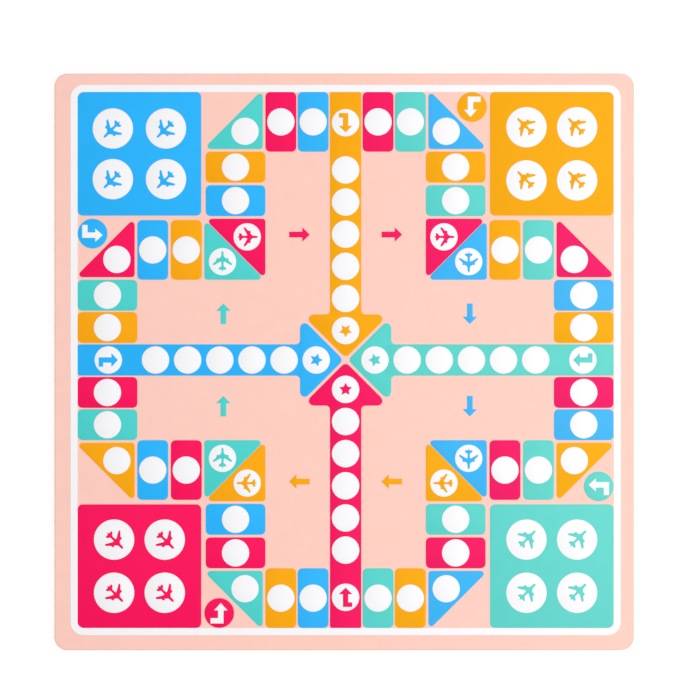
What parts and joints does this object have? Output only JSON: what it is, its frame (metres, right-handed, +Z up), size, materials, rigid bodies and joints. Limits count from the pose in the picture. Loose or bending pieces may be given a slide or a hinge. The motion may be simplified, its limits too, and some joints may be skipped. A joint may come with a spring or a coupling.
{
  "type": "double-sided game board",
  "caption": "Flat square board with rounded corners: a fibreboard panel with a printed sheet on each face, a ludo race track on top and a snakes-and-ladders grid below.",
  "frame": {"origin": "middle of the lower face, on the surface that the board lies on", "axes": "+Z up, out of the ludo face; +X to the right and +Y to the top of the ludo print as the picture shows it"},
  "size_m": [0.3002, 0.2986, 0.005],
  "materials": {
    "lacquered_fibreboard": "satin",
    "sheet_paper": "matte",
    "ink_pink": "satin",
    "ink_white": "satin",
    "ink_crimson": "satin",
    "ink_blue": "satin",
    "ink_amber": "satin",
    "ink_mint": "satin",
    "ink_brown": "satin"
  },
  "bodies": {
    "root": {"core_panel": "lacquered_fibreboard", "corner_fields_amber": "ink_amber", "corner_fields_blue": "ink_blue", "corner_fields_crimson": "ink_crimson", "corner_fields_mint": "ink_mint", "flight_fields_amber": "ink_amber", "flight_fields_blue": "ink_blue", "flight_fields_crimson": "ink_crimson", "flight_fields_mint": "ink_mint", "home_run_amber": "ink_amber", "home_run_blue": "ink_blue", "home_run_crimson": "ink_crimson", "home_run_mint": "ink_mint", "home_spots": "ink_white", "ladder_1": "ink_brown", "ladder_2": "ink_brown", "ladder_3": "ink_brown", "ladder_4": "ink_brown", "ladder_5": "ink_brown", "ludo_ground": "ink_pink", "ludo_line": "ink_white", "ludo_sheet": "sheet_paper", "snake_amber": "ink_amber", "snake_blue": "ink_blue", "snake_crimson": "ink_crimson", "snake_mint": "ink_mint", "snakes_ground": "ink_pink", "snakes_line": "ink_white", "snakes_sheet": "sheet_paper", "start_badge_amber": "ink_amber", "start_badge_blue": "ink_blue", "start_badge_crimson": "ink_crimson", "start_badge_mint": "ink_mint", "track_cards_amber": "ink_amber", "track_cards_blue": "ink_blue", "track_cards_crimson": "ink_crimson", "track_cards_mint": "ink_mint", "track_spots": "ink_white", "white_squares": "ink_white", "yard_amber": "ink_amber", "yard_blue": "ink_blue", "yard_crimson": "ink_crimson", "yard_mint": "ink_mint", "yard_spots": "ink_white"}
  },
  "joints": []
}
